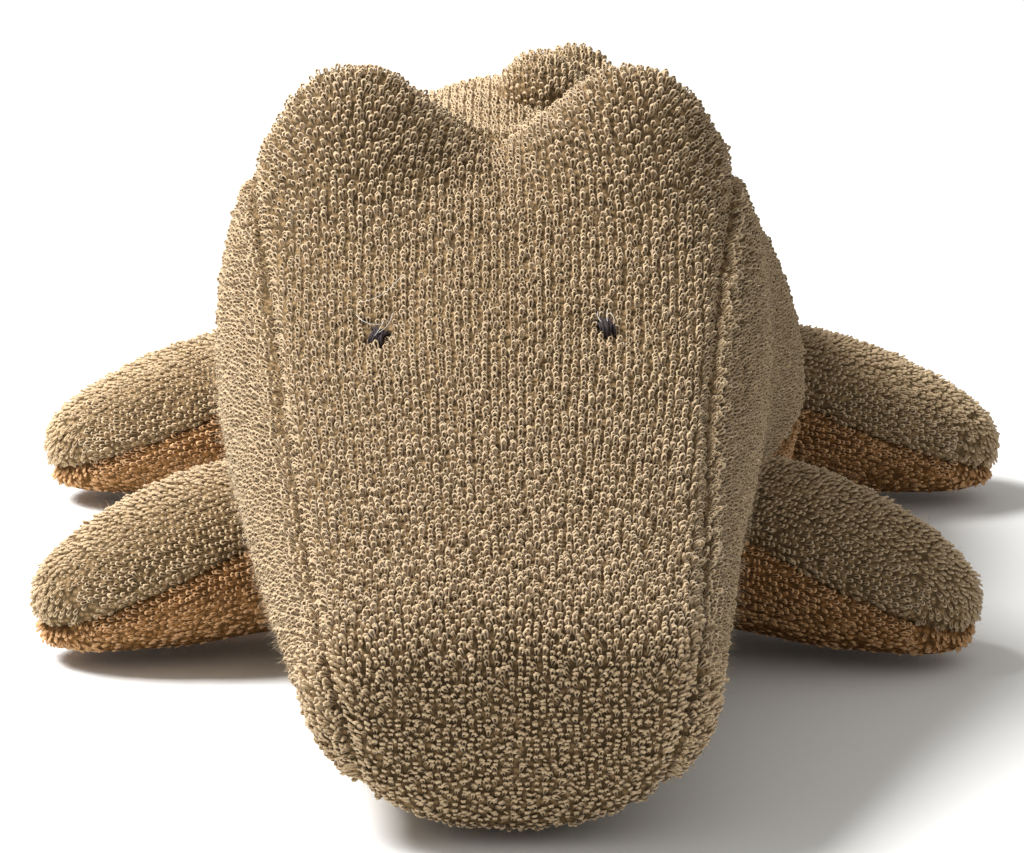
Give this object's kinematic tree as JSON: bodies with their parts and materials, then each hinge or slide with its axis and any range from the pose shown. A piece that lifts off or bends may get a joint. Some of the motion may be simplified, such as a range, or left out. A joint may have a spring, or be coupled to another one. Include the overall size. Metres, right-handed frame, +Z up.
{
  "type": "plush crocodile",
  "caption": "Stuffed crocodile of looped terry fabric, lying on its belly, with a nodding head, legs that lift and a tail that sways.",
  "frame": {"origin": "on the floor, under the centre of the toy's bounding box", "axes": "+Z up, the snout points along -Y, the animal's own left side is +X"},
  "size_m": [0.1698, 0.35, 0.096],
  "materials": {
    "khaki_terry": "matte looped terry",
    "orange_terry": "matte looped terry",
    "filling_fibre": "loose white fibre",
    "eye_thread": "stitched thread"
  },
  "bodies": {
    "torso": {"back_panel": "khaki_terry", "belly_panel": "orange_terry", "body_filling": "filling_fibre", "spine_hump_1": "khaki_terry", "spine_hump_2": "khaki_terry", "spine_hump_3": "khaki_terry", "spine_hump_4": "khaki_terry"},
    "head": {"face_panel": "khaki_terry", "left_cheek_panel": "khaki_terry", "right_cheek_panel": "khaki_terry", "nape_panel": "khaki_terry", "jaw_panel": "orange_terry", "head_filling": "filling_fibre", "left_eye": "eye_thread", "right_eye": "eye_thread"},
    "left_front_leg": {"left_front_leg_upper": "khaki_terry", "left_front_leg_under": "orange_terry", "left_front_leg_filling": "filling_fibre"},
    "right_front_leg": {"right_front_leg_upper": "khaki_terry", "right_front_leg_under": "orange_terry", "right_front_leg_filling": "filling_fibre"},
    "left_rear_leg": {"left_rear_leg_upper": "khaki_terry", "left_rear_leg_under": "orange_terry", "left_rear_leg_filling": "filling_fibre"},
    "right_rear_leg": {"right_rear_leg_upper": "khaki_terry", "right_rear_leg_under": "orange_terry", "right_rear_leg_filling": "filling_fibre"},
    "tail_root": {"tail_root_upper": "khaki_terry", "tail_root_under": "orange_terry", "tail_root_filling": "filling_fibre", "spine_hump_5": "khaki_terry", "spine_hump_6": "khaki_terry"},
    "tail_end": {"tail_end_upper": "khaki_terry", "tail_end_under": "orange_terry", "tail_end_filling": "filling_fibre", "spine_hump_7": "khaki_terry", "spine_hump_8": "khaki_terry"}
  },
  "joints": [
    {"name": "head_nod", "type": "hinge", "parent": "torso", "child": "head", "pos_m": [0, -0.058, 0.036], "axis": [-1, 0, 0], "range_deg": [-12, 12]},
    {"name": "left_front_leg_lift", "type": "hinge", "parent": "torso", "child": "left_front_leg", "pos_m": [0.041, -0.067, 0.017], "axis": [-0.2924, -0.9563, 0], "range_deg": [-10, 24]},
    {"name": "right_front_leg_lift", "type": "hinge", "parent": "torso", "child": "right_front_leg", "pos_m": [-0.041, -0.067, 0.017], "axis": [-0.2924, 0.9563, 0], "range_deg": [-10, 24]},
    {"name": "left_rear_leg_lift", "type": "hinge", "parent": "torso", "child": "left_rear_leg", "pos_m": [0.043, 0.025, 0.017], "axis": [-0.1045, -0.9945, 0], "range_deg": [-10, 24]},
    {"name": "right_rear_leg_lift", "type": "hinge", "parent": "torso", "child": "right_rear_leg", "pos_m": [-0.043, 0.025, 0.017], "axis": [-0.1045, 0.9945, 0], "range_deg": [-10, 24]},
    {"name": "tail_sway", "type": "hinge", "parent": "torso", "child": "tail_root", "pos_m": [0, 0.062, 0.0235], "axis": [0, 0, 1], "range_deg": [-24, 24]},
    {"name": "tail_bend", "type": "hinge", "parent": "tail_root", "child": "tail_end", "pos_m": [0, 0.1185, 0.0155], "axis": [0, 0, 1], "range_deg": [-24, 24]}
  ],
  "couplings": [
    {"joint": "tail_bend", "follows": "tail_sway", "ratio": 1}
  ]
}
